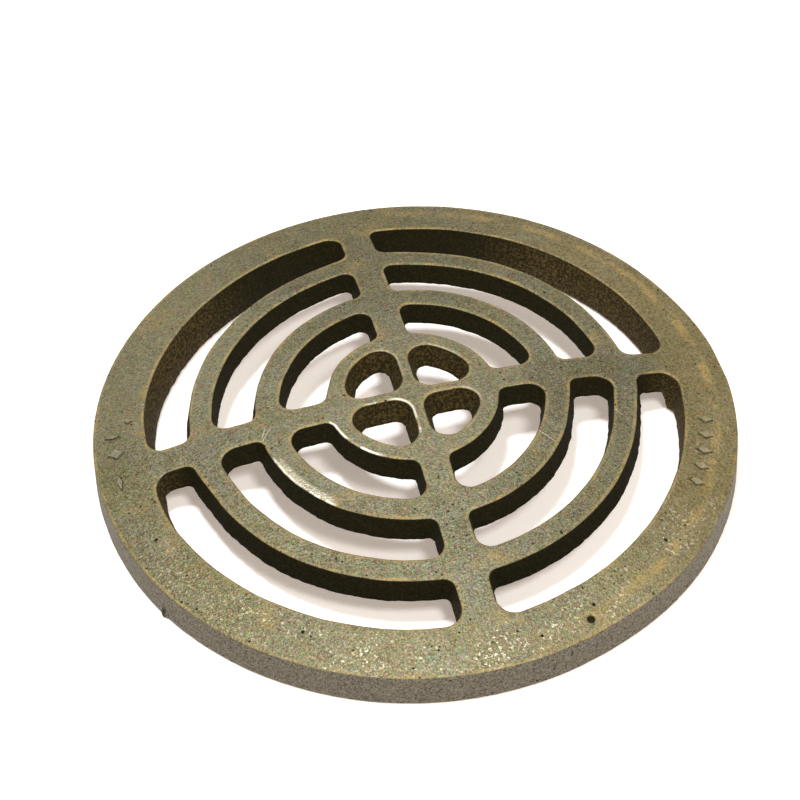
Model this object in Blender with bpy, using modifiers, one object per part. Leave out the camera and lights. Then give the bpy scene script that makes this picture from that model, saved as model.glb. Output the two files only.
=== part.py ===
"""Domed round drain grate, sand-cast in grey iron as one piece.

A flat-seated rim carries a thin domed grid: two ring ribs and a hub ring, joined by four spokes.
The openings between them are twelve curved slots in three rings, and four rounded holes in the hub.
Units are metres, +Z is up, the spokes lie along X and Y, and the origin is the centre of the seat.
"""
import math

import bmesh
import bpy

# Driving dimensions, metres.
FOOT_DIAMETER = 0.1873
RIM_HEIGHT = 0.0107
CROWN_HEIGHT = 0.0222
GRID_THICKNESS = 0.0072
SEAT_INNER_RADIUS = 0.0769
RIM_WALL_LEAN = 0.0005
RIM_EDGE_ROUND = 0.0014

# The walls of every opening lean: this is how far a wall comes in per metre of depth.
OPENING_DRAFT = 0.2
EDGE_CHAMFER = 0.0009

# Slot rings: outer radius, inner radius, spoke width and corner radius, at the top surface.
SLOT_RINGS = {
    "outer_slots": (0.0785, 0.0649, 0.0082, 0.0050),
    "middle_slots": (0.0580, 0.0455, 0.0086, 0.0044),
    "inner_slots": (0.0382, 0.0252, 0.0082, 0.0042),
}
# Hub holes: outer radius, width of the cross between them and corner radius.
HUB_HOLE_RADIUS = 0.0198
HUB_CROSS_WIDTH = 0.0038
HUB_HOLE_CORNER = 0.0056

# Fineness of the faceting.
DISC_STEPS = 72
DOME_POINTS = 7
ARC_STEP = math.radians(6.5)
CORNER_STEPS = 3

# How far the cutters reach past the two faces of the grid.
CUT_ABOVE = 0.0012
CUT_BELOW = 0.0015

QUARTER_TURN = math.pi / 2

RIM_TOP_RADIUS = FOOT_DIAMETER / 2 - RIM_WALL_LEAN
CROWN_RISE = CROWN_HEIGHT - RIM_HEIGHT
CROWN_SPHERE = (RIM_TOP_RADIUS ** 2 + CROWN_RISE ** 2) / (2 * CROWN_RISE)


def clear_scene():
    """Remove every object, so that the model starts from nothing."""
    for item in list(bpy.data.objects):
        bpy.data.objects.remove(item, do_unlink=True)


def new_collection(name):
    """Return a new collection under the scene's own."""
    collection = bpy.data.collections.new(name)
    bpy.context.scene.collection.children.link(collection)
    return collection


def dome_height(radius):
    """Height of the domed top face at a distance from the axis."""
    return CROWN_HEIGHT - CROWN_SPHERE + math.sqrt(CROWN_SPHERE ** 2 - radius ** 2)


def arc(centre, radius, start, end, steps):
    """Points along a circular arc, both ends included."""
    points = []
    for index in range(steps + 1):
        angle = start + (end - start) * index / steps
        points.append((centre[0] + radius * math.cos(angle), centre[1] + radius * math.sin(angle)))
    return points


def slot_outline(outer, inner, half_spoke, corner, arc_steps):
    """One curved slot in the quarter between the +X and +Y spokes, counter-clockwise."""
    side = half_spoke + corner
    outer_reach = math.sqrt((outer - corner) ** 2 - side ** 2)
    inner_reach = math.sqrt((inner + corner) ** 2 - side ** 2)
    outer_angle = math.atan2(side, outer_reach)
    inner_angle = math.atan2(side, inner_reach)
    points = arc((outer_reach, side), corner, -QUARTER_TURN, outer_angle, CORNER_STEPS)
    points += arc((0, 0), outer, outer_angle, QUARTER_TURN - outer_angle, arc_steps)[1:-1]
    points += arc((side, outer_reach), corner, QUARTER_TURN - outer_angle, math.pi, CORNER_STEPS)
    points += arc((side, inner_reach), corner, math.pi, 3 * QUARTER_TURN - inner_angle, CORNER_STEPS)
    points += arc((0, 0), inner, QUARTER_TURN - inner_angle, inner_angle, arc_steps)[1:-1]
    points += arc((inner_reach, side), corner, math.pi + inner_angle, 3 * QUARTER_TURN, CORNER_STEPS)
    return points


def hub_hole_outline(outer, half_cross, corner, arc_steps):
    """One rounded three-cornered hole beside the hub's cross, counter-clockwise."""
    side = half_cross + corner
    reach = math.sqrt((outer - corner) ** 2 - side ** 2)
    angle = math.atan2(side, reach)
    points = arc((reach, side), corner, -QUARTER_TURN, angle, CORNER_STEPS)
    points += arc((0, 0), outer, angle, QUARTER_TURN - angle, arc_steps)[1:-1]
    points += arc((side, reach), corner, QUARTER_TURN - angle, math.pi, CORNER_STEPS)
    points += arc((side, side), corner, math.pi, 3 * QUARTER_TURN, CORNER_STEPS)
    return points


def wall_levels():
    """Depth below the top face, and how far the wall stands out there, from top to bottom."""
    bottom = GRID_THICKNESS + CUT_BELOW
    return (
        (-CUT_ABOVE, EDGE_CHAMFER + CUT_ABOVE),
        (EDGE_CHAMFER, 0.0),
        (bottom, -(bottom - EDGE_CHAMFER) * OPENING_DRAFT),
    )


def make_cutter(name, outline_at, collection):
    """Four like cutters, one for each quarter, lofted down through the grid along the dome."""
    bm = bmesh.new()
    for quarter in range(4):
        turn = (math.cos(quarter * QUARTER_TURN), math.sin(quarter * QUARTER_TURN))
        previous = None
        for depth, stand_out in wall_levels():
            loop = []
            for x, y in outline_at(stand_out):
                height = dome_height(math.hypot(x, y)) - depth
                loop.append(bm.verts.new((x * turn[0] - y * turn[1], x * turn[1] + y * turn[0], height)))
            if previous is None:
                bm.faces.new(loop)
            else:
                for index, vert in enumerate(loop):
                    following = (index + 1) % len(loop)
                    bm.faces.new((previous[index], vert, loop[following], previous[following]))
            previous = loop
        bm.faces.new(list(reversed(previous)))
    bmesh.ops.triangulate(bm, faces=[face for face in bm.faces if len(face.verts) > 4])
    bmesh.ops.recalc_face_normals(bm, faces=bm.faces)
    mesh = bpy.data.meshes.new(name)
    bm.to_mesh(mesh)
    bm.free()
    cutter = bpy.data.objects.new(name, mesh)
    cutter.display_type = "WIRE"
    cutter.hide_render = True
    collection.objects.link(cutter)
    return cutter


def slot_cutter(name, sizes, collection):
    """Cutter for one ring of curved slots."""
    outer, inner, spoke, corner = sizes
    arc_steps = max(8, round((QUARTER_TURN - 2 * math.asin(spoke / (outer + inner))) / ARC_STEP))

    def outline_at(stand_out):
        return slot_outline(
            outer + stand_out, inner - stand_out, spoke / 2 - stand_out, corner + stand_out, arc_steps
        )

    return make_cutter(name, outline_at, collection)


def hub_cutter(collection):
    """Cutter for the four holes of the hub."""

    def outline_at(stand_out):
        return hub_hole_outline(
            HUB_HOLE_RADIUS + stand_out, HUB_CROSS_WIDTH / 2 - stand_out, HUB_HOLE_CORNER + stand_out, 4
        )

    return make_cutter("hub_holes", outline_at, collection)


def disc_profile():
    """Half section of the uncut casting: dome, rim wall, flat seat, step and hollow underside."""
    edge_start = RIM_TOP_RADIUS - RIM_EDGE_ROUND
    points = []
    for index in range(DOME_POINTS):
        radius = edge_start * index / (DOME_POINTS - 1)
        points.append((radius, dome_height(radius)))
    edge_top = dome_height(edge_start)
    for index in (1, 2):
        angle = QUARTER_TURN * (1 - index / 2)
        drop = RIM_EDGE_ROUND * (1 - math.sin(angle))
        points.append((edge_start + RIM_EDGE_ROUND * math.cos(angle), edge_top - drop))
    points.append((FOOT_DIAMETER / 2, 0.0))
    points.append((SEAT_INNER_RADIUS, 0.0))
    for index in range(DOME_POINTS):
        radius = SEAT_INNER_RADIUS * (1 - index / (DOME_POINTS - 1))
        points.append((radius, dome_height(radius) - GRID_THICKNESS))
    return points


def make_material():
    """Rough grey cast iron, weathered to an olive brown."""
    material = bpy.data.materials.new("cast_iron")
    material.use_nodes = True
    shader = material.node_tree.nodes["Principled BSDF"]
    shader.inputs["Base Color"].default_value = (0.20, 0.18, 0.12, 1.0)
    shader.inputs["Roughness"].default_value = 0.62
    shader.inputs["Metallic"].default_value = 0.55
    return material


def make_grate(collection, cutters):
    """The casting: the turned disc with the openings taken out of it."""
    profile = disc_profile()
    mesh = bpy.data.meshes.new("drain_grate")
    edges = [(index, index + 1) for index in range(len(profile) - 1)]
    mesh.from_pydata([(radius, 0.0, height) for radius, height in profile], edges, [])
    grate = bpy.data.objects.new("drain_grate", mesh)
    collection.objects.link(grate)
    mesh.materials.append(make_material())

    turn = grate.modifiers.new("turn", "SCREW")
    turn.axis = "Z"
    turn.steps = DISC_STEPS
    turn.render_steps = DISC_STEPS
    turn.use_merge_vertices = True
    turn.merge_threshold = 0.00005
    turn.use_smooth_shade = True

    for cutter in cutters:
        cut = grate.modifiers.new(cutter.name, "BOOLEAN")
        cut.operation = "DIFFERENCE"
        cut.solver = "EXACT"
        cut.object = cutter
    return grate


clear_scene()
parts = new_collection("drain_grate")
cutter_collection = new_collection("cutters")
slot_cutters = [slot_cutter(name, sizes, cutter_collection) for name, sizes in SLOT_RINGS.items()]
make_grate(parts, slot_cutters + [hub_cutter(cutter_collection)])
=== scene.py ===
"""Looks of the domed round drain grate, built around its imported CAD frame."""

import math

import bpy
import numpy as np
from mathutils import Matrix, Vector, kdtree
from mathutils.geometry import delaunay_2d_cdt


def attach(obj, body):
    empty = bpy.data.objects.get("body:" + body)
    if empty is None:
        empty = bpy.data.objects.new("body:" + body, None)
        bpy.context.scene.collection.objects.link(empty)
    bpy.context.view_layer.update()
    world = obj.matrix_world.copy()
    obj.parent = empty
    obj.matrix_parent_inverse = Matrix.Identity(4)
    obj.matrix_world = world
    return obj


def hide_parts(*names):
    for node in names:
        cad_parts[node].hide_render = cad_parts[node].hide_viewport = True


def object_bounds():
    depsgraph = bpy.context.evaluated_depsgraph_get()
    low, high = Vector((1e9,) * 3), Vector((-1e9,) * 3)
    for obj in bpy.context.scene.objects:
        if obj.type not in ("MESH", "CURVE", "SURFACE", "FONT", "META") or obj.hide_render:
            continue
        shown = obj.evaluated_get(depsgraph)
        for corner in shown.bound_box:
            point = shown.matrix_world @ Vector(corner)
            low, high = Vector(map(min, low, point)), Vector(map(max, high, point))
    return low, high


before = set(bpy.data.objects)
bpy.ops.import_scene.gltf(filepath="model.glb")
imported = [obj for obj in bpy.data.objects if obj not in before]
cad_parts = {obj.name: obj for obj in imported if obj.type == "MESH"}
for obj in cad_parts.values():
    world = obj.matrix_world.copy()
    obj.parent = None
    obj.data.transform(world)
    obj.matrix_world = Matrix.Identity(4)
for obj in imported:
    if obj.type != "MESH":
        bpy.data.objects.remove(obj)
cad_low, cad_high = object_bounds()

# ---------------------------------------------------------------------------------------------
# The plan of the casting: a broad rim, two ring ribs and a hub ring, joined by four spokes.
# On the real grate this is the flat drawing that the foundry pattern was cut from, so it is laid
# out flat first, as a fine web of triangles with the openings left out of it.

FOOT_RADIUS = (cad_high.x - cad_low.x) / 2
CROWN_HEIGHT = cad_high.z
RIM_HEIGHT = 0.48 * CROWN_HEIGHT
GRID_THICKNESS = 0.0072
SEAT_INNER_RADIUS = 0.0769
RIM_LEAN = 0.0005
EDGE_ROUND = 0.0006
RIM_ROUND = 0.0005
SKIN_ALLOWANCE = 0.00018

# Rings of slots: outer radius, inner radius, and the radius of the two corners on the inner side.
SLOT_RINGS = ((0.0785, 0.0649, 0.0031), (0.0580, 0.0455, 0.0026), (0.0382, 0.0252, 0.0029))
# The two ends of each quarter's slots, a little uneven as cast: half width of the spoke beside it,
# and radius of the outer corner.
SLOT_ENDS = (
    (
        ((0.0037, 0.0050), (0.0053, 0.0027)),
        ((0.0044, 0.0046), (0.0036, 0.0050)),
        ((0.0055, 0.0050), (0.0050, 0.0050)),
        ((0.0048, 0.0050), (0.0050, 0.0050)),
    ),
    (
        ((0.0042, 0.0044), (0.0050, 0.0027)),
        ((0.0045, 0.0032), (0.0041, 0.0044)),
        ((0.0044, 0.0044), (0.0045, 0.0044)),
        ((0.0044, 0.0044), (0.0042, 0.0044)),
    ),
    (
        ((0.0041, 0.0042), (0.0050, 0.0030)),
        ((0.0041, 0.0036), (0.0040, 0.0042)),
        ((0.0042, 0.0042), (0.0043, 0.0042)),
        ((0.0042, 0.0042), (0.0041, 0.0042)),
    ),
)
# Holes of the hub: outer radius, and half widths of the two arms of the cross beside each hole.
HUB_HOLES = (
    (0.0203, 0.0018, 0.0023),
    (0.0207, 0.0012, 0.0020),
    (0.0203, 0.0014, 0.0015),
    (0.0198, 0.0021, 0.0015),
)
HUB_CORNER = 0.0052
# Where the mould gave and an edge sits off the drawing: bearing in degrees, distance from the
# centre, how far along it reaches, and the shift away from the centre.
SAGS = (
    (-5.0, 0.0649, 0.011, 0.0014),
    (-5.0, 0.0455, 0.009, 0.0007),
    (85.0, 0.0649, 0.014, 0.0010),
    (95.0, 0.0649, 0.011, 0.0010),
    (186.0, 0.0649, 0.010, 0.0011),
    (174.0, 0.0785, 0.014, -0.0012),
    (185.0, 0.0785, 0.011, -0.0009),
    (157.0, 0.0205, 0.008, -0.0011),
)

OUTLINE_STEP = 0.00075
WEB_STEP = 0.00105
QUARTER = math.pi / 2


def arc(centre, radius, start, end):
    """Points along an arc, one outline step apart, with the last point left off."""
    steps = max(1, round(abs(end - start) * radius / OUTLINE_STEP))
    angles = [start + (end - start) * i / steps for i in range(steps)]
    return [(centre[0] + radius * math.cos(a), centre[1] + radius * math.sin(a)) for a in angles]


def straight(start, end):
    """Points along a straight line, one outline step apart, with the last point left off."""
    length = math.dist(start, end)
    steps = max(1, round(length / OUTLINE_STEP))
    return [
        (start[0] + (end[0] - start[0]) * i / steps, start[1] + (end[1] - start[1]) * i / steps)
        for i in range(steps)
    ]


def corner_centre(ring, corner, half):
    """How far along and beside a spoke the centre of a slot's rounded corner lies."""
    beside = half + abs(corner)
    return math.sqrt((ring - corner) ** 2 - beside ** 2), beside


def slot_outline(outer, inner, in_corner, low_end, far_end):
    """One curved slot between the +X spoke at its low end and the +Y spoke at its far end."""
    (low_half, low_corner), (far_half, far_corner) = low_end, far_end
    low_out, low_a = corner_centre(outer, low_corner, low_half)
    low_in, low_b = corner_centre(inner, -in_corner, low_half)
    far_out, far_a = corner_centre(outer, far_corner, far_half)
    far_in, far_b = corner_centre(inner, -in_corner, far_half)
    a_out, a_in = math.atan2(low_a, low_out), math.atan2(low_b, low_in)
    b_out, b_in = math.atan2(far_out, far_a), math.atan2(far_in, far_b)
    points = arc((low_out, low_a), low_corner, -QUARTER, a_out)
    points += arc((0, 0), outer, a_out, b_out)
    points += arc((far_a, far_out), far_corner, b_out, math.pi)
    points += straight((far_half, far_out), (far_half, far_in))
    points += arc((far_b, far_in), in_corner, math.pi, math.pi + b_in)
    points += arc((0, 0), inner, b_in, a_in)
    points += arc((low_in, low_b), in_corner, math.pi + a_in, 3 * QUARTER)
    points += straight((low_in, low_half), (low_out, low_half))
    return points


def hub_outline(outer, corner, low_half, far_half):
    """One rounded three-cornered hole of the hub."""
    low_reach, low_side = corner_centre(outer, corner, low_half)
    far_reach, far_side = corner_centre(outer, corner, far_half)
    low_angle, far_angle = math.atan2(low_side, low_reach), math.atan2(far_reach, far_side)
    points = arc((low_reach, low_side), corner, -QUARTER, low_angle)
    points += arc((0, 0), outer, low_angle, far_angle)
    points += arc((far_side, far_reach), corner, far_angle, math.pi)
    points += straight((far_half, far_reach), (far_half, low_side))
    points += arc((far_side, low_side), corner, math.pi, 3 * QUARTER)
    points += straight((far_side, low_half), (low_reach, low_half))
    return points


def sagged(points):
    """The points of an outline, moved where the mould gave."""
    moved = []
    for x, y in points:
        distance, shift = math.hypot(x, y), 0.0
        for bearing, reach, spread, give in SAGS:
            angle = math.radians(bearing)
            away = math.dist((x, y), (reach * math.cos(angle), reach * math.sin(angle)))
            shift += give * math.exp(-2.0 * (away / spread) ** 2)
        moved.append((x * (1 + shift / distance), y * (1 + shift / distance)))
    return moved


def quarter_turn(points, quarter):
    """The points turned by a number of quarter turns."""
    c, s = ((1, 0), (0, 1), (-1, 0), (0, -1))[quarter]
    return [(x * c - y * s, x * s + y * c) for x, y in points]


def openings():
    """Outlines of all sixteen openings, drawn larger by the rounding of their top edges."""
    outlines = []
    for (outer, inner, in_corner), quarters in zip(SLOT_RINGS, SLOT_ENDS):
        for quarter, ends in enumerate(quarters):
            low, far = [(half - EDGE_ROUND, corner + EDGE_ROUND) for half, corner in ends]
            radii = (outer + EDGE_ROUND, inner - EDGE_ROUND, in_corner + EDGE_ROUND)
            outlines.append(quarter_turn(slot_outline(*radii, low, far), quarter))
    for quarter, (outer, low_half, far_half) in enumerate(HUB_HOLES):
        halves = (low_half - EDGE_ROUND, far_half - EDGE_ROUND)
        outline = hub_outline(outer + EDGE_ROUND, HUB_CORNER + EDGE_ROUND, *halves)
        outlines.append(quarter_turn(outline, quarter))
    return [sagged(outline) for outline in outlines]


# Blowholes, where gas sat under the skin of the metal: place in plan, radius and depth.
BLOWHOLES = (
    (0.0283, -0.0839, 0.00120, 0.0014),
    (0.0302, -0.0800, 0.00050, 0.0006),
    (-0.0475, -0.0690, 0.00050, 0.0004),
    (0.0140, -0.0862, 0.00045, 0.0004),
    (0.0560, -0.0640, 0.00045, 0.0004),
    (-0.0802, -0.0270, 0.00050, 0.0004),
    (0.0500, 0.0345, 0.00050, 0.0005),
)
# Rings of extra points round a blowhole: how many, points in each, and the turn between them.
HOLE_RINGS, RING_POINTS, RING_TURN = 5, 8, 0.4
# Under the spokes the hollow steps down to the seat between these radii.
STEP_RADII = (0.0757, SEAT_INNER_RADIUS)
# A crumb of flash left at the foot of the rim: place in plan and radius.
FLASH = (-0.0811, -0.0438, 0.0018)
# The rim is a little out of round: bearing of each bulge from +X in degrees, and its height.
BULGES = ((-24.0, 0.0012), (143.0, 0.0005), (-150.0, -0.0004))
# Least gaps in the web: of a special point from an edge and from its like, and of a web point
# from an edge and from a special point.
EDGE_GAP, SPECIAL_GAP = 0.0004, 0.00015
WEB_EDGE_GAP, WEB_SPECIAL_GAP = 0.62 * WEB_STEP, 0.6 * WEB_STEP


def plan_of_casting():
    """The flat web of the casting, with each point's way out of the metal and its distance in."""
    rim_radius = FOOT_RADIUS - SKIN_ALLOWANCE - RIM_LEAN - RIM_ROUND
    outlines = [arc((0, 0), rim_radius, 0, 4 * QUARTER)] + openings()
    points, ways, owners, edges = [], [], [], []
    for owner, outline in enumerate(outlines):
        count, first = len(outline), len(points)
        for i, (x, y) in enumerate(outline):
            before, after = outline[i - 1], outline[(i + 1) % count]
            along = Vector((after[0] - before[0], after[1] - before[1])).normalized()
            out = Vector((along.y, -along.x)) if owner == 0 else Vector((-along.y, along.x))
            points.append((x, y))
            ways.append(out)
            owners.append(owner)
            edges.append((first + i, first + (i + 1) % count))

    finder = kdtree.KDTree(len(points))
    for i, (x, y) in enumerate(points):
        finder.insert((x, y, 0), i)
    finder.balance()

    def in_metal(x, y, margin):
        near, i, gap = finder.find((x, y, 0))
        inward = (x - near.x) * ways[i].x + (y - near.y) * ways[i].y < 0
        return inward and gap > margin

    # Extra points ring the blowholes and line the step under the spokes; an even web fills the rest.
    special = []
    for hole_x, hole_y, radius, _ in BLOWHOLES:
        special.append((hole_x, hole_y))
        for ring in range(1, HOLE_RINGS + 1):
            reach = radius * (0.25 + 0.22 * ring)
            for point in range(RING_POINTS):
                angle = 4 * QUARTER * point / RING_POINTS + RING_TURN * ring
                special.append((hole_x + reach * math.cos(angle), hole_y + reach * math.sin(angle)))
    for radius in STEP_RADII:
        special += arc((0, 0), radius, 0, 4 * QUARTER)
    inner = []
    for x, y in special:
        apart = all(math.dist((x, y), other) > SPECIAL_GAP for other in inner)
        if in_metal(x, y, EDGE_GAP) and apart:
            inner.append((x, y))
    near_special = kdtree.KDTree(len(inner))
    for i, (x, y) in enumerate(inner):
        near_special.insert((x, y, 0), i)
    near_special.balance()

    row_gap = WEB_STEP * math.sqrt(3) / 2
    rows = int(FOOT_RADIUS / row_gap) + 1
    columns = int(FOOT_RADIUS / WEB_STEP) + 1
    for row in range(-rows, rows + 1):
        for column in range(-columns, columns + 1):
            x, y = (column + 0.5 * (row % 2)) * WEB_STEP, row * row_gap
            if math.hypot(x, y) > rim_radius or not in_metal(x, y, WEB_EDGE_GAP):
                continue
            if near_special.find((x, y, 0))[2] > WEB_SPECIAL_GAP:
                inner.append((x, y))

    everything = [Vector(p) for p in points + inner]
    verts, _, faces, origins, _, _ = delaunay_2d_cdt(everything, edges, [], 0, 1e-7, True)
    came_from = [ids[0] for ids in origins]
    owner_of = owners + [-1] * len(inner)
    flat = []
    for face in faces:
        owned = {owner_of[came_from[v]] for v in face}
        if len(owned) > 1 or -1 in owned:
            flat.append(tuple(face))

    mesh = bpy.data.meshes.new("grate_plan")
    mesh.from_pydata([(v.x, v.y, 0.0) for v in verts], [], flat)
    outward, margins = [], []
    for v in verts:
        _, i, gap = finder.find((v.x, v.y, 0))
        outward.append((ways[i].x, ways[i].y, 0.0))
        margins.append(gap)
    outward_data = mesh.attributes.new("outward", "FLOAT_VECTOR", "POINT").data
    outward_data.foreach_set("vector", np.ravel(outward))
    mesh.attributes.new("margin", "FLOAT", "POINT").data.foreach_set("value", margins)
    return mesh


class Wire:
    """A node's output in arithmetic: each operator adds a Math node to the same tree."""

    def __init__(self, socket):
        self.socket = socket
        self.tree = socket.id_data

    @classmethod
    def add(cls, tree, kind, settings=None, values=None, output=0):
        """Add a node: its settings first, then a value or a wire for each named or numbered input."""
        node = tree.nodes.new(kind)
        for name, value in (settings or {}).items():
            setattr(node, name, value)
        for name, value in (values or {}).items():
            if isinstance(value, Wire):
                tree.links.new(value.socket, node.inputs[name])
            else:
                node.inputs[name].default_value = value
        return cls(node.outputs[output])

    def other(self, name):
        """Another output of the same node."""
        return Wire(self.socket.node.outputs[name])

    def math(self, operation, *others, clamp=False):
        """A Math node on this value and the others."""
        settings = {"operation": operation, "use_clamp": clamp}
        return Wire.add(self.tree, "ShaderNodeMath", settings, dict(enumerate((self,) + others)))

    def __add__(self, other):
        return self.math("ADD", other)

    __radd__ = __add__

    def __mul__(self, other):
        return self.math("MULTIPLY", other)

    __rmul__ = __mul__

    def __sub__(self, other):
        return self.math("SUBTRACT", other)

    def __rsub__(self, other):
        return (self * -1.0) + other

    def __truediv__(self, other):
        return self.math("DIVIDE", other)

    def smooth(self, low, high):
        """0 below low, 1 above high, and a soft step between."""
        settings = {"interpolation_type": "SMOOTHSTEP"}
        values = {"Value": self, "From Min": low, "From Max": high}
        return Wire.add(self.tree, "ShaderNodeMapRange", settings, values)


# ---------------------------------------------------------------------------------------------
# The casting itself, one piece of sand-cast grey iron. The flat plan is lifted onto the dome, its
# top edges are rounded, its walls go down with the pattern's draft to a ragged lower edge, and the
# underside closes it: hollow under the grid, flat under the rim, where the grate sits in its frame.

# Levels of the section down a wall: round its top edge, down its face, and round its foot.
ROUND_LEVELS, WALL_LEVELS, FOOT_LEVELS = 4, 7, 2
LEVELS = ROUND_LEVELS + WALL_LEVELS + FOOT_LEVELS
# Distances from the centre over which the rim, its outer edge, its inner wall and the hub begin.
RIM_ZONE = (0.080, 0.092)
RIM_EDGE = (0.0905, 0.0906)
RIM_INSIDE = (0.0755, 0.0770)
HUB_END = (0.0222, 0.0238)
# How close, as a cosine, a bulge's bearing has to be before the rim begins to swell.
BULGE_START = 0.68
# How far in from its edges the underside spreads, and how near its points are to be welded.
SPREAD_REACH = 0.004
WELD = 2e-6
# Scales of the noises: outlines, ragged lower edges, waves of the mould face, grain of the sand.
WANDER_SCALE, RAGGED_SCALE, WAVES_SCALE, SAND_SCALE = 75.0, 420.0, 95.0, 430.0
CASTING_SIZES = {
    "Crown height": CROWN_HEIGHT - SKIN_ALLOWANCE,
    "Rim height": RIM_HEIGHT,
    "Rim radius": FOOT_RADIUS - SKIN_ALLOWANCE - RIM_LEAN,
    "Gauge": FOOT_RADIUS - SKIN_ALLOWANCE / 4,
    "Grid thickness": GRID_THICKNESS,
    "Edge round": EDGE_ROUND,
    "Rim round": RIM_ROUND,
    "Foot round": 0.0005,
    "Seat lip": 0.0009,
    "Opening draft": 0.2,
    "Hub draft": 0.17,
    "Core shift": 0.0006,
    "Rim lean": RIM_LEAN,
    "Seat height": SKIN_ALLOWANCE,
    "Outline wander": 0.0006,
    "Ragged edge": 0.0008,
    "Flash": 0.0007,
    "Skin waves": 0.00014,
    "Skin grain": 0.00010,
}


def casting_tree(material):
    """Geometry Nodes that turn the flat plan into the domed casting."""
    tree = bpy.data.node_groups.new("domed_casting", "GeometryNodeTree")
    tree.interface.new_socket("Plan", in_out="INPUT", socket_type="NodeSocketGeometry")
    for name, value in CASTING_SIZES.items():
        socket = tree.interface.new_socket(name, in_out="INPUT", socket_type="NodeSocketFloat")
        socket.default_value = value
    tree.interface.new_socket("Casting", in_out="OUTPUT", socket_type="NodeSocketGeometry")
    size = {item.name: Wire(item) for item in tree.nodes.new("NodeGroupInput").outputs if item.name}

    def add(kind, settings=None, values=None, output=0):
        return Wire.add(tree, kind, settings, values, output)

    def split(vector):
        x = add("ShaderNodeSeparateXYZ", None, {0: vector})
        return x, x.other("Y"), x.other("Z")

    def join(x, y, z):
        return add("ShaderNodeCombineXYZ", None, {0: x, 1: y, 2: z})

    def vector_math(operation, first, second):
        settings = {"operation": operation}
        name = "Scale" if operation == "SCALE" else 1
        return add("ShaderNodeVectorMath", settings, {0: first, name: second})

    def attribute(name, kind="FLOAT"):
        return add("GeometryNodeInputNamedAttribute", {"data_type": kind}, {"Name": name})

    def store(geometry, name, value, kind="FLOAT", selection=None):
        values = {"Geometry": geometry, "Name": name, "Value": value}
        if selection is not None:
            values["Selection"] = selection
        return add("GeometryNodeStoreNamedAttribute", {"data_type": kind, "domain": "POINT"}, values)

    def noise(place, scale, detail=2.0, output="Fac"):
        values = {"Vector": place, "Scale": scale, "Detail": detail}
        found = add("ShaderNodeTexNoise", {"noise_dimensions": "3D"}, values)
        return found.other(output)

    # The dome is part of a sphere through the rim's top edge and the crown.
    rise = size["Crown height"] - size["Rim height"]
    sphere = (size["Rim radius"] * size["Rim radius"] + rise * rise) / (rise * 2.0)

    def dome(radius):
        """Height of the top face at a distance from the centre."""
        return size["Crown height"] - sphere + (sphere * sphere - radius * radius).math("SQRT")

    def radius_of(vector):
        x, y, _ = split(vector)
        return (x * x + y * y).math("SQRT")

    # Outlines wander a little, as a hand-rammed mould lets them, but the rim keeps its circle.
    place = add("GeometryNodeInputPosition")
    radius = radius_of(place)
    near_rim = radius.smooth(*RIM_ZONE)
    wander = noise(place, WANDER_SCALE, output="Color")
    wander = vector_math("SUBTRACT", wander, (0.5, 0.5, 0.5))
    wander = vector_math("SCALE", wander, size["Outline wander"] * (1.0 - 0.75 * near_rim))
    wander = vector_math("MULTIPLY", wander, (1.0, 1.0, 0.0))
    x, y, _ = split(place)
    bulge = 0.0
    for bearing, swell in BULGES:
        c, s = math.cos(math.radians(bearing)), math.sin(math.radians(bearing))
        bulge = ((x * c + y * s) / radius).smooth(BULGE_START, 1.0) * swell + bulge
    away = vector_math("NORMALIZE", place, (0.0, 0.0, 0.0))
    swollen = vector_math("SCALE", away, bulge * near_rim)
    offset = vector_math("ADD", wander, swollen)
    plan = add("GeometryNodeSetPosition", None, {"Geometry": size["Plan"], "Offset": offset})
    plan = store(plan, "plan", place, "FLOAT_VECTOR")
    plan = store(plan, "depth", 0.0)

    drawn = attribute("plan", "FLOAT_VECTOR")
    outward = attribute("outward", "FLOAT_VECTOR")
    drawn_radius = radius_of(drawn)
    on_rim = drawn_radius.smooth(*RIM_EDGE)
    rim_inside = drawn_radius.smooth(*RIM_INSIDE) * (1.0 - on_rim)
    hub = 1.0 - drawn_radius.smooth(*HUB_END)

    def flash_mask():
        """1 at the crumb of flash, and 0 away from it."""
        away = radius_of(vector_math("SUBTRACT", drawn, (FLASH[0], FLASH[1], 0.0)))
        return 1.0 - away.smooth(0.0, FLASH[2])

    def section(level):
        """Where a point of the plan's edge has gone at a level of the wall's section."""
        turn = (level / float(ROUND_LEVELS)).math("MINIMUM", 1.0) * QUARTER
        wall = (level - float(ROUND_LEVELS)) / float(WALL_LEVELS)
        wall = wall.math("MULTIPLY", 1.0, clamp=True)
        foot = (level - float(ROUND_LEVELS + WALL_LEVELS)) / float(FOOT_LEVELS)
        foot = foot.math("MULTIPLY", 1.0, clamp=True) * QUARTER
        edge = size["Edge round"] * (1.0 - on_rim) + size["Rim round"] * on_rim
        lip = size["Foot round"] + size["Seat lip"] * rim_inside
        face = size["Grid thickness"] - edge
        # The openings narrow downward, the hub's most; a core set a little off centre made one
        # side of the rim's inner wall steeper than the other.
        core_shift = size["Core shift"] * rim_inside * (split(drawn)[0] / SEAT_INNER_RADIUS)
        full_draft = face * (size["Opening draft"] + size["Hub draft"] * hub) - core_shift
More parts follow.
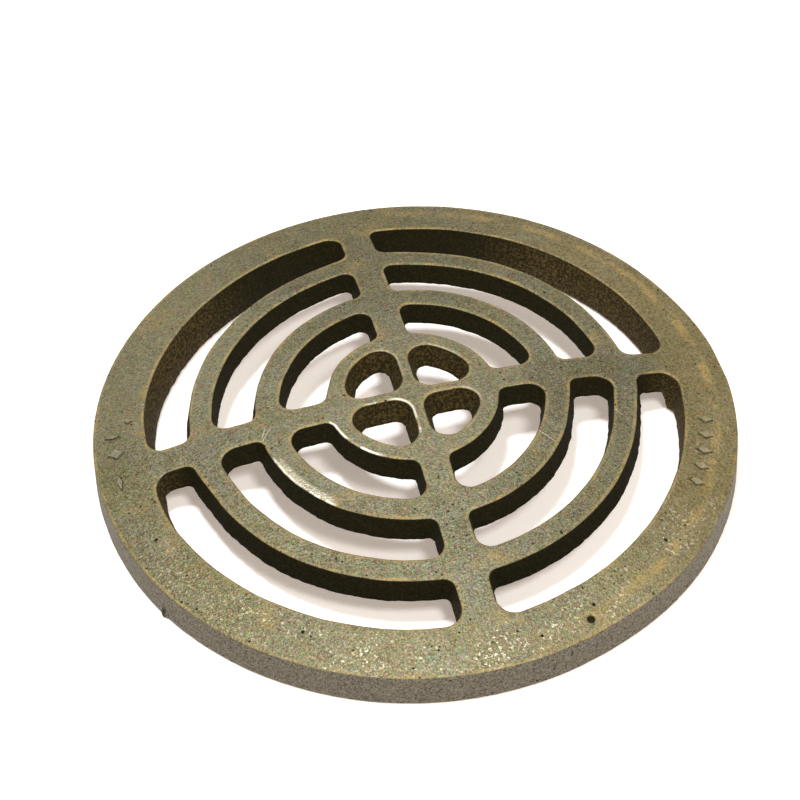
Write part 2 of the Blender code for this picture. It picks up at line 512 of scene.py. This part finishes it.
        # The end of the section decides how far down this wall goes: to the seat, or to the hollow.
        reach = edge + full_draft * (1.0 - on_rim) + size["Rim lean"] * on_rim - lip
        under = underside(vector_math("ADD", drawn, vector_math("SCALE", outward, reach)))
        top = dome(drawn_radius)
        down = wall * (top - under - edge - lip)
        draft = (down / face).math("MINIMUM", 1.0) * full_draft
        draft = draft * (1.0 - on_rim) + wall * size["Rim lean"] * on_rim
        ragged = noise(vector_math("ADD", drawn, join(0.0, 0.0, wall * 0.004)), RAGGED_SCALE, 3.0)
        ragged = (ragged - 0.5) * wall.smooth(0.35, 1.0) * size["Ragged edge"]
        ragged = ragged * (1.0 - 0.8 * on_rim)
        flash = flash_mask() * wall.smooth(0.5, 1.0) * size["Flash"]
        out = turn.math("SINE") * edge + draft + ragged + flash - (1.0 - foot.math("COSINE")) * lip
        drop = (1.0 - turn.math("COSINE")) * edge + down + foot.math("SINE") * lip
        return out, top - drop

    def underside(place):
        """Height of the underside: the hollow that follows the dome, and the flat seat outside."""
        radius = radius_of(place)
        rim = radius.smooth(*STEP_RADII)
        hollow = dome(radius) - size["Grid thickness"]
        return hollow * (1.0 - rim) + size["Seat height"] * rim

    domed = join(x, y, dome(drawn_radius))
    top = add("GeometryNodeSetPosition", None, {"Geometry": plan, "Position": domed})

    # Each turn of the loop draws the open edges one level further down the section.
    start = tree.nodes.new("GeometryNodeRepeatInput")
    end = tree.nodes.new("GeometryNodeRepeatOutput")
    start.pair_with_output(end)
    end.repeat_items.new("BOOLEAN", "Front")
    start.inputs["Iterations"].default_value = LEVELS
    tree.links.new(top.socket, start.inputs["Geometry"])
    settings = {"data_type": "INT", "operation": "EQUAL"}
    values = {2: add("GeometryNodeInputMeshEdgeNeighbors"), 3: 1}
    is_open = add("FunctionNodeCompare", settings, values)
    tree.links.new(is_open.socket, start.inputs["Front"])
    level = Wire(start.outputs["Iteration"]) + 1.0
    done, front = Wire(start.outputs["Geometry"]), Wire(start.outputs["Front"])
    values = {"Mesh": done, "Selection": front, "Offset Scale": 0.0}
    drawn_out = add("GeometryNodeExtrudeMesh", {"mode": "EDGES"}, values)
    out, height = section(level)
    moved_x, moved_y, _ = split(vector_math("ADD", drawn, vector_math("SCALE", outward, out)))
    front = drawn_out.other("Top")
    position = join(moved_x, moved_y, height)
    values = {"Geometry": drawn_out, "Selection": front, "Position": position}
    placed = add("GeometryNodeSetPosition", None, values)
    placed = store(placed, "depth", level / float(LEVELS), selection=front)
    tree.links.new(placed.socket, end.inputs["Geometry"])
    tree.links.new(front.socket, end.inputs["Front"])

    # The underside is the plan again, face down, spread to meet the foot of every wall.
    margin = attribute("margin")
    spread = 1.0 - (margin / SPREAD_REACH).math("MINIMUM", 1.0)
    foot = tree.nodes.new("ShaderNodeValue").outputs[0]
    foot.default_value = LEVELS
    last_out, last_height = section(Wire(foot))
    spread_place = vector_math("ADD", drawn, vector_math("SCALE", outward, last_out * spread))
    spread_x, spread_y, _ = split(spread_place)
    less_than = {"data_type": "FLOAT", "operation": "LESS_THAN"}
    at_edge = add("FunctionNodeCompare", less_than, {0: margin, 1: 1e-5})
    inside = join(spread_x, spread_y, underside(spread_place))
    edge = join(spread_x, spread_y, last_height)
    values = {"Switch": at_edge, "False": inside, "True": edge}
    place_under = add("GeometryNodeSwitch", {"input_type": "VECTOR"}, values)
    base = add("GeometryNodeSetPosition", None, {"Geometry": plan, "Position": place_under})
    base = add("GeometryNodeFlipFaces", None, {"Mesh": base})
    base = store(base, "depth", 2.0)

    both = tree.nodes.new("GeometryNodeJoinGeometry")
    tree.links.new(base.socket, both.inputs[0])
    tree.links.new(end.outputs["Geometry"], both.inputs[0])
    values = {"Geometry": Wire(both.outputs[0]), "Distance": WELD}
    closed = add("GeometryNodeMergeByDistance", None, values)

    # The skin: slow waves of the mould face and the grain of the sand, along the surface's normal.
    waves = (noise(place, WAVES_SCALE, 1.0) - 0.5) * size["Skin waves"]
    grain = (noise(place, SAND_SCALE, 2.0) - 0.5) * size["Skin grain"]
    skin = vector_math("SCALE", add("GeometryNodeInputNormal"), waves + grain)
    skinned = add("GeometryNodeSetPosition", None, {"Geometry": closed, "Offset": skin})
    # Where the bulge would pass the rim's gauge it was dressed flat.
    x, y, z = split(place)
    gauged = join(x.math("MINIMUM", size["Gauge"]), y, z)
    skinned = add("GeometryNodeSetPosition", None, {"Geometry": skinned, "Position": gauged})

    # Blowholes sink into the top face.
    sink, mouth = 0.0, 0.0
    for hole_x, hole_y, radius, depth in BLOWHOLES:
        away = radius_of(vector_math("SUBTRACT", drawn, (hole_x, hole_y, 0.0)))
        here = 1.0 - away.smooth(0.35 * radius, 1.15 * radius)
        sink = here * -depth + sink
        mouth = here + mouth
    on_top = add("FunctionNodeCompare", less_than, {0: attribute("depth"), 1: 0.01})
    values = {"Geometry": skinned, "Selection": on_top, "Offset": join(0.0, 0.0, sink)}
    skinned = add("GeometryNodeSetPosition", None, values)
    crumb = flash_mask() * attribute("depth").smooth(0.45, 0.75)
    skinned = store(skinned, "hole", mouth * on_top + crumb * 0.5)

    smooth = add("GeometryNodeSetShadeSmooth", None, {"Geometry": skinned})
    real = add("GeometryNodeRealizeInstances", None, {"Geometry": smooth})
    coated = add("GeometryNodeSetMaterial", None, {"Geometry": real, "Material": material})
    tree.links.new(coated.socket, tree.nodes.new("NodeGroupOutput").inputs[0])
    return tree


def grown(name, mesh, tree, sizes):
    """The plain mesh object that a node tree makes of a mesh; the modifier is not kept."""
    seed = bpy.data.objects.new(name + "_seed", mesh)
    bpy.context.scene.collection.objects.link(seed)
    modifier = seed.modifiers.new(name, "NODES")
    modifier.node_group = tree
    for item in tree.interface.items_tree:
        if item.in_out == "INPUT" and item.name in sizes:
            modifier[item.identifier] = sizes[item.name]
    evaluated = seed.evaluated_get(bpy.context.evaluated_depsgraph_get())
    made = bpy.data.objects.new(name, bpy.data.meshes.new_from_object(evaluated))
    bpy.data.objects.remove(seed)
    bpy.context.scene.collection.objects.link(made)
    return made


# The finish of the iron: bare sand-cast metal gone olive and brown in store. The grain of the mould
# sand covers it, rust gathers along the edges, and the walls of the openings are near-black.
# Handling has rubbed a few grains bright and left scratches. Painted highlights lie on the front
# of the rim, on the second rib, on rounded edges that face the front left and on the tops of the
# raised marks; the brown on some walls, the paler front and the darker back are painted light.

OLIVE = (0.156, 0.142, 0.068, 1.0)
GREY = (0.160, 0.159, 0.106, 1.0)
UMBER = (0.046, 0.038, 0.015, 1.0)
OCHRE = (0.310, 0.220, 0.078, 1.0)
PALE_GRAIN = (0.400, 0.370, 0.250, 1.0)
NEAR_BLACK = (0.0060, 0.0056, 0.0006, 1.0)
WALL_BROWN = (0.112, 0.076, 0.024, 1.0)
SIDE_GREY = (0.174, 0.158, 0.116, 1.0)
SIDE_DARK = (0.046, 0.039, 0.028, 1.0)
UNDERSIDE = (0.085, 0.072, 0.045, 1.0)
BRIGHT_METAL_AND_HIGHLIGHT = (0.66, 0.62, 0.49, 1.0)
GLINT = (0.86, 0.83, 0.72, 1.0)
# Grains differ in tint: this much spread of each colour, on this base.
TINT_SPREAD = (1.0, 0.75, 1.0)
TINT_BASE = (0.52, 0.64, 0.52)

# Where tones change, as distances from the centre.
HUB_TONE = (0.022, 0.050)
RIM_TONE = (0.066, 0.082)
HUB_WALLS = (0.0212, 0.0240)
HUB_HOLES_END = (0.0215, 0.0225)
OUTER_SIDE = (0.0917, 0.0925)
# Depth down a wall runs from 0 on the top face to 1 at its foot, and is 2 underneath.
WALL_START = (0.11, 0.20)
UNDER_START = (1.2, 1.8)
ROUNDING = (0.09, 0.22)
# Distances in from an edge.
RUSTY_EDGE = (0.0002, 0.0008)
BRIGHT_EDGE = (0.0, 0.0004)
# Rings on the top face: distance from the centre, half width and fade.
TURNED_RING = (0.0878, 0.0006, 0.0022)
FRONT_HIGHLIGHT_RING = (0.0870, 0.0020, 0.0060)
RIB_STREAK = (0.0442, 0.0006, 0.0012)
RIB_EDGE = (0.0450, 0.0008, 0.0004)
HUB_EDGE = (0.0248, 0.0008, 0.0004)
# A dark stain on the +X spoke: centre, half width and fade, along the spoke and across it.
STAIN_ALONG = (0.048, 0.008, 0.012)
STAIN_ACROSS = (-0.002, 0.004, 0.006)
# Scratches: place in plan, bearing in degrees and length. All are equally fine.
SCRATCHES = (
    (0.0336, -0.0247, -54.0, 0.0058),
    (0.0566, -0.0190, -62.0, 0.0022),
    (-0.0434, -0.0028, 51.0, 0.0052),
    (-0.0441, -0.0018, 64.0, 0.0030),
    (0.0690, -0.0585, 40.0, 0.0012),
)
SCRATCH_HALF_WIDTH, SCRATCH_FADE, SCRATCH_END = 0.00008, 0.00014, 0.0004


def iron_finish(material):
    """Node tree of the casting's finish, driven by object position and the section's attributes."""
    tree = material.node_tree
    shader = tree.nodes["Principled BSDF"]

    def add(kind, settings=None, values=None, output=0):
        return Wire.add(tree, kind, settings, values, output)

    def mix(share, first, second):
        """The first colour, with a share of the second."""
        return add("ShaderNodeMix", {"data_type": "RGBA"}, {0: share, 6: first, 7: second}, output=2)

    def vector_math(operation, *vectors):
        return add("ShaderNodeVectorMath", {"operation": operation}, dict(enumerate(vectors)))

    def noise(scale, detail=3.0, rough=0.5):
        values = {"Vector": here, "Scale": scale, "Detail": detail, "Roughness": rough}
        return add("ShaderNodeTexNoise", None, values)

    def from_attribute(name, output="Fac"):
        return add("ShaderNodeAttribute", {"attribute_name": name}).other(output)

    def band(value, centre, half_width, fade):
        """1 within a band about the centre, and 0 beyond its fade."""
        return 1.0 - (value - centre).math("ABSOLUTE").smooth(half_width, half_width + fade)

    def scratch(across, along, bearing, length):
        """Up to 0.8 on a fine straight scratch about a place in plan."""
        c, s = math.cos(math.radians(bearing)), math.sin(math.radians(bearing))
        lengthwise = (x - across) * c + (y - along) * s
        sidewise = (y - along) * c - (x - across) * s
        line = band(sidewise, 0.0, SCRATCH_HALF_WIDTH, SCRATCH_FADE)
        return band(lengthwise, 0.0, length / 2, SCRATCH_END) * line * 0.8

    here = add("ShaderNodeTexCoord", output=3)
    x = add("ShaderNodeSeparateXYZ", None, {0: here})
    y = x.other("Y")
    radius = (x * x + y * y).math("SQRT")
    depth = from_attribute("depth")
    margin = from_attribute("margin")
    hole = from_attribute("hole")

    outside = radius.smooth(*OUTER_SIDE)
    wall = depth.smooth(*WALL_START)
    under = depth.smooth(*UNDER_START)
    inner_wall = wall * (1.0 - outside)
    edge = (1.0 - margin.smooth(*RUSTY_EDGE)) * (1.0 - wall)
    on_rim = radius.smooth(*RIM_TONE)

    broad = noise(22.0, 3.0)
    patches = noise(48.0, 4.0)
    mottle = noise(240.0, 4.0, 0.6)
    grain = noise(1300.0, 2.0, 0.6)
    fine = noise(2500.0, 1.0)

    # Body colour: grey at the middle and olive on the rim, with dark and pale grains of the skin.
    colour = mix(patches.smooth(0.34, 0.66) * 0.6 + 0.4 * (1.0 - on_rim), OLIVE, GREY)
    colour = mix(broad.smooth(0.42, 0.66) * 0.24, colour, UMBER)
    stain = band(y, *STAIN_ACROSS) * band(x, *STAIN_ALONG)
    colour = mix(stain * 0.34, colour, UMBER)
    colour = mix(mottle.smooth(0.45, 0.75) * 0.52, colour, UMBER)
    colour = mix(grain.smooth(0.46, 0.64) * 0.66, colour, UMBER)
    colour = mix(fine.smooth(0.50, 0.68) * 0.42, colour, PALE_GRAIN)

    # It is a little paler on the hub and at the back left, and a little darker on the right. Paler at
    # the very front and darker at the back is painted light and shade, brighter toward the front.
    back_left = (1.0 - x.smooth(-0.055, -0.020)) * y.smooth(0.002, 0.022)
    very_front = 1.0 - y.smooth(-0.092, -0.050)
    at_back, on_right = y.smooth(0.050, 0.085), x.smooth(0.050, 0.082)
    colour = mix((1.0 - radius.smooth(*HUB_TONE)) * 0.10, colour, PALE_GRAIN)
    colour = mix(back_left * 0.11, colour, PALE_GRAIN)
    colour = mix(very_front * 0.09, colour, PALE_GRAIN)
    colour = mix(at_back * 0.08 + on_right * 0.11, colour, UMBER)
    tint = vector_math("MULTIPLY_ADD", noise(950.0, 2.0).other("Color"), TINT_SPREAD, TINT_BASE)
    colour = vector_math("MULTIPLY", colour, tint)

    # Rust: thin lines along the edges, a faint turned ring and a thin bloom on the right of the
    # rim, and patches all over, broken by the grain.
    ring = band(radius, *TURNED_RING) * x.smooth(-0.010, 0.060)
    rust = edge * (noise(110.0, 4.0, 0.6).smooth(0.38, 0.66) * 0.60 + 0.10)
    rust = rust.math("MAXIMUM", ring * noise(90.0, 4.0, 0.65).smooth(0.30, 0.62) * 0.80)
    rust = rust.math("MAXIMUM", on_rim * x.smooth(0.015, 0.080) * 0.23)
    rust = rust.math("MAXIMUM", noise(60.0, 5.0, 0.7).smooth(0.54, 0.70) * 0.50)
    rust = rust * (1.0 - grain.smooth(0.46, 0.64) * 0.5)
    colour = mix(rust, colour, OCHRE)

    # Walls: near-black, with a little brown in the grain. The more brown round the hub and on the
    # rim's own wall, rising toward its foot and left off at its back, is painted light from the lamps
    # and the floor. The outer side is grey.
    rim_wall = on_rim * (1.0 - y.smooth(0.054, 0.072))
    near_hub = 1.0 - radius.smooth(*HUB_WALLS)
    brown = 0.10 + near_hub * 0.38 + rim_wall * (0.42 + depth * 0.48)
    brown = brown * (0.20 + grain.smooth(0.42, 0.66))
    colour = mix(inner_wall, colour, mix(brown, NEAR_BLACK, WALL_BROWN))
    side_grains = fine.smooth(0.42, 0.58) * 0.58 + grain.smooth(0.45, 0.60) * 0.42
    colour = mix(wall * outside, colour, mix(side_grains, SIDE_GREY, SIDE_DARK))
    colour = mix(under, colour, mix(grain.smooth(0.42, 0.62) * 0.6, UNDERSIDE, UMBER))

    # Bright grains: a few all over and the scratches are wear. Most on the rim's front and left, a
    # streak on the second rib and the tops of the raised marks are painted highlights.
    front = 1.0 - y.smooth(-0.075, -0.020)
    toward = (x * -0.85 - y * 0.53) / radius
    outer_half = band(radius, *FRONT_HIGHLIGHT_RING)
    clusters = noise(75.0, 3.0).smooth(0.44, 0.62) * (0.25 + front * outer_half)
    clusters = clusters.math("MAXIMUM", outer_half * toward.smooth(0.93, 0.99) * 0.6)
    wear_and_highlight = noise(1100.0, 2.0).smooth(0.54, 0.70) * clusters
    streak = band(radius, *RIB_STREAK) * toward.smooth(0.955, 0.985)
    wear_and_highlight = wear_and_highlight + streak * grain.smooth(0.34, 0.56) + from_attribute("mark_top_highlight")
    for place_and_length in SCRATCHES:
        wear_and_highlight = wear_and_highlight + scratch(*place_and_length)
    wear_and_highlight = wear_and_highlight.math("MINIMUM", 1.0) * (1.0 - wall)
    colour = mix(wear_and_highlight * 0.50, colour, BRIGHT_METAL_AND_HIGHLIGHT)

    # Painted highlights on rounded edges that face the front left: round the holes of the hub,
    # most of all the front left one, on the hub ring and on the second rib.
    facing = vector_math("DOT_PRODUCT", from_attribute("outward", "Vector"), (-0.80, -0.60, 0.0))
    facing = facing.other("Value").smooth(0.40, 0.85)
    rounding = (1.0 - margin.smooth(*BRIGHT_EDGE)) * (1.0 - depth.smooth(*ROUNDING))
    left_front = 0.14 + 0.46 * (1.0 - (x + y).smooth(-0.006, 0.0))
    glint = rounding * facing * (1.0 - radius.smooth(*HUB_HOLES_END)) * left_front
    glint = glint + rounding * band(radius, *HUB_EDGE) * toward.smooth(0.88, 0.97) * 0.9
    glint = glint + rounding * band(radius, *RIB_EDGE) * toward.smooth(0.95, 0.98) * 0.7
    glint = glint * noise(260.0, 2.0).smooth(0.40, 0.56)
    colour = mix(glint.math("MINIMUM", 1.0), colour, GLINT)

    # The dark mouths of blowholes and small pits, and through the attribute "hole" also the painted
    # shade on the sloping sides of the raised marks.
    pits = add("ShaderNodeTexVoronoi", None, {"Vector": here, "Scale": 420.0})
    pit_and_mark_shade = (1.0 - pits.smooth(0.08, 0.17)) * noise(170.0, 2.0).smooth(0.50, 0.58)
    pit_and_mark_shade = pit_and_mark_shade.math("MAXIMUM", hole.smooth(0.15, 0.55))
    colour = mix(pit_and_mark_shade * 0.95, colour, NEAR_BLACK)

    tree.links.new(colour.socket, shader.inputs["Base Color"])
    roughness = 0.46 + grain * 0.18 - wear_and_highlight * 0.14 + inner_wall * 0.30 + pit_and_mark_shade * 0.3
    tree.links.new(roughness.socket, shader.inputs["Roughness"])
    metallic = 0.58 - wall * 0.58 + wear_and_highlight * 0.20 - rust * 0.45 - pit_and_mark_shade * 0.6
    tree.links.new(metallic.math("MULTIPLY", 1.0, clamp=True).socket, shader.inputs["Metallic"])
    shader.inputs["Specular IOR Level"].default_value = 0.10

    relief = grain * 0.7 + fine * 0.45 + mottle * 0.9 - pit_and_mark_shade * 1.2
    bump = add("ShaderNodeBump", None, {"Strength": 0.8, "Distance": 0.0004, "Height": relief})
    tree.links.new(bump.socket, shader.inputs["Normal"])


iron = bpy.data.materials.new("cast_iron")
iron.use_nodes = True
iron_finish(iron)
casting = grown("grate_casting", plan_of_casting(), casting_tree(iron), CASTING_SIZES)
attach(casting, "root")
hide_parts("drain_grate")


# ---------------------------------------------------------------------------------------------
# Raised marks, cast in one with the rim: plain flat-topped lozenges where a foundry puts its signs,
# five in a row on the right, and a bar, a large lozenge and two small ones on the left.

MARK_HEIGHT = 0.00070
MARK_SINK = 0.00020
MARK_TAPER = 0.66
# Painted shade on the sloping sides, a painted highlight on the tops, and the distance in from an
# edge that the finish reads on the marks, so that no rust line or painted edge highlight lands on
# them.
MARK_SIDE_SHADE, MARK_TOP_HIGHLIGHT, MARK_MARGIN = 0.36, 0.3, 0.005
# Bearing from +X in degrees, distance from the centre, size across the rim and size along it.
MARKS = [(-16.6 - 4.1 * i, 0.0846, 0.0060, 0.0036) for i in range(5)]
MARKS += [
    (167.0, 0.0828, 0.0030, 0.0028),
    (170.6, 0.0872, 0.0060, 0.0016),
    (175.0, 0.0862, 0.0066, 0.0052),
    (182.4, 0.0866, 0.0022, 0.0082),
]


def marks_seed():
    """A point for each mark, on the dome, with its turn, its tilt and its size."""
    rise = CROWN_HEIGHT - RIM_HEIGHT
    rim = CASTING_SIZES["Rim radius"]
    sphere = (rim * rim + rise * rise) / (2 * rise)
    places, turns, sizes = [], [], []
    for bearing, reach, across, along in MARKS:
        angle = math.radians(bearing)
        height = CASTING_SIZES["Crown height"] - sphere + math.sqrt(sphere * sphere - reach * reach)
        places.append((reach * math.cos(angle), reach * math.sin(angle), height - MARK_SINK))
        turns.append((0.0, math.asin(reach / sphere), angle))
        sizes.append((across / 2, along / 2, MARK_HEIGHT + MARK_SINK))
    mesh = bpy.data.meshes.new("marks_points")
    mesh.from_pydata(places, [], [])
    for name, rows in (("turn", turns), ("size", sizes)):
        data = mesh.attributes.new(name, "FLOAT_VECTOR", "POINT").data
        data.foreach_set("vector", np.ravel(rows))
    return mesh


def marks_tree(material):
    """Geometry Nodes that stand a lozenge on every point."""
    tree = bpy.data.node_groups.new("raised_marks", "GeometryNodeTree")
    tree.interface.new_socket("Places", in_out="INPUT", socket_type="NodeSocketGeometry")
    taper = tree.interface.new_socket("Taper", in_out="INPUT", socket_type="NodeSocketFloat")
    taper.default_value = MARK_TAPER
    tree.interface.new_socket("Marks", in_out="OUTPUT", socket_type="NodeSocketGeometry")
    group = tree.nodes.new("NodeGroupInput").outputs

    def add(kind, settings=None, values=None):
        return Wire.add(tree, kind, settings, values)

    def attribute(name):
        settings = {"data_type": "FLOAT_VECTOR"}
        return add("GeometryNodeInputNamedAttribute", settings, {"Name": name})

    values = {"Vertices": 4, "Radius Bottom": 1.0, "Radius Top": Wire(group["Taper"]), "Depth": 1.0}
    cone = add("GeometryNodeMeshCone", None, values)
    lozenge = cone
    on_faces = {"data_type": "FLOAT", "domain": "FACE"}
    # The sides take painted shade through "hole" and the tops a painted highlight, read by the
    # finish.
    for faces, name, value in (("Side", "hole", MARK_SIDE_SHADE), ("Top", "mark_top_highlight", MARK_TOP_HIGHLIGHT)):
        values = {"Geometry": lozenge, "Selection": cone.other(faces), "Name": name, "Value": value}
        lozenge = add("GeometryNodeStoreNamedAttribute", on_faces, values)
    turn = add("FunctionNodeEulerToRotation", None, {0: attribute("turn")})
    values = {"Points": Wire(group["Places"]), "Instance": lozenge}
    values.update({"Rotation": turn, "Scale": attribute("size")})
    marks = add("GeometryNodeInstanceOnPoints", None, values)
    marks = add("GeometryNodeRealizeInstances", None, {"Geometry": marks})
    on_points = {"data_type": "FLOAT", "domain": "POINT"}
    values = {"Geometry": marks, "Name": "margin", "Value": MARK_MARGIN}
    marks = add("GeometryNodeStoreNamedAttribute", on_points, values)
    marks = add("GeometryNodeSetMaterial", None, {"Geometry": marks, "Material": material})
    tree.links.new(marks.socket, tree.nodes.new("NodeGroupOutput").inputs[0])
    return tree


marks = grown("raised_marks", marks_seed(), marks_tree(iron), {"Taper": MARK_TAPER})
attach(marks, "root")

# ---------------------------------------------------------------------------------------------
# The setting: a floor of pale paper that glows faintly, one soft light nearly overhead on the left
# and a second one in front, which give the shadows under the ribs their two tones, and the camera.

FLOOR_WIDTH = 4.0
PAPER = (0.86, 0.85, 0.84, 1.0)
PAPER_GLOW = (1.0, 0.84, 0.74, 1.0)
GLOW_STRENGTH = 0.30
SKY = (1.0, 0.90, 0.80, 1.0)
SKY_STRENGTH = 0.62
# Soft square lights that face the origin: name, place, width, power and colour.
LIGHTS = (
    ("top_light", (-0.11, -0.02, 1.0), 0.16, 8.6, (0.97, 0.985, 1.0)),
    ("front_light", (0.12, -0.50, 0.86), 0.20, 5.0, (1.0, 0.97, 0.92)),
)
CAMERA_TURN = math.radians(12.16)
CAMERA_TILT = math.radians(46.86)
CAMERA_ROLL = math.radians(-2.29)
CAMERA_DISTANCE = 0.6419
AIM = Vector((-0.0025, 0.0049, 0.0145))
LENS = 99.0

half = FLOOR_WIDTH / 2
floor_corners = [(-half, -half, 0), (half, -half, 0), (half, half, 0), (-half, half, 0)]
floor_mesh = bpy.data.meshes.new("floor")
floor_mesh.from_pydata(floor_corners, [], [(0, 1, 2, 3)])
floor = bpy.data.objects.new("floor", floor_mesh)
bpy.context.scene.collection.objects.link(floor)
paper = bpy.data.materials.new("pale_paper")
paper.use_nodes = True
paper_shader = paper.node_tree.nodes["Principled BSDF"].inputs
paper_shader["Base Color"].default_value = PAPER
paper_shader["Roughness"].default_value = 0.9
paper_shader["Specular IOR Level"].default_value = 0.1
paper_shader["Emission Color"].default_value = PAPER_GLOW
paper_shader["Emission Strength"].default_value = GLOW_STRENGTH
floor_mesh.materials.append(paper)

world = bpy.data.worlds.new("studio")
bpy.context.scene.world = world
world.use_nodes = True
sky = world.node_tree.nodes["Background"].inputs
sky["Color"].default_value = SKY
sky["Strength"].default_value = SKY_STRENGTH

for name, place, width, power, light_colour in LIGHTS:
    light = bpy.data.lights.new(name, "AREA")
    light.size = width
    light.energy = power
    light.color = light_colour
    lamp = bpy.data.objects.new(name, light)
    lamp.location = place
    lamp.rotation_euler = (-Vector(place)).to_track_quat("-Z", "Y").to_euler()
    bpy.context.scene.collection.objects.link(lamp)

along_floor = math.cos(CAMERA_TILT)
forward = Vector((math.sin(CAMERA_TURN), math.cos(CAMERA_TURN), 0)) * along_floor
forward.z = -math.sin(CAMERA_TILT)
level = Vector((forward.y, -forward.x, 0)).normalized()
right = level * math.cos(CAMERA_ROLL) + level.cross(forward) * math.sin(CAMERA_ROLL)
turned = Matrix((right, right.cross(forward), -forward)).transposed().to_4x4()
camera_data = bpy.data.cameras.new("camera")
camera_data.lens = LENS
camera = bpy.data.objects.new("camera", camera_data)
camera.matrix_world = Matrix.Translation(AIM - forward * CAMERA_DISTANCE) @ turned
bpy.context.scene.collection.objects.link(camera)
bpy.context.scene.camera = camera
bpy.context.scene.view_settings.view_transform = "Standard"
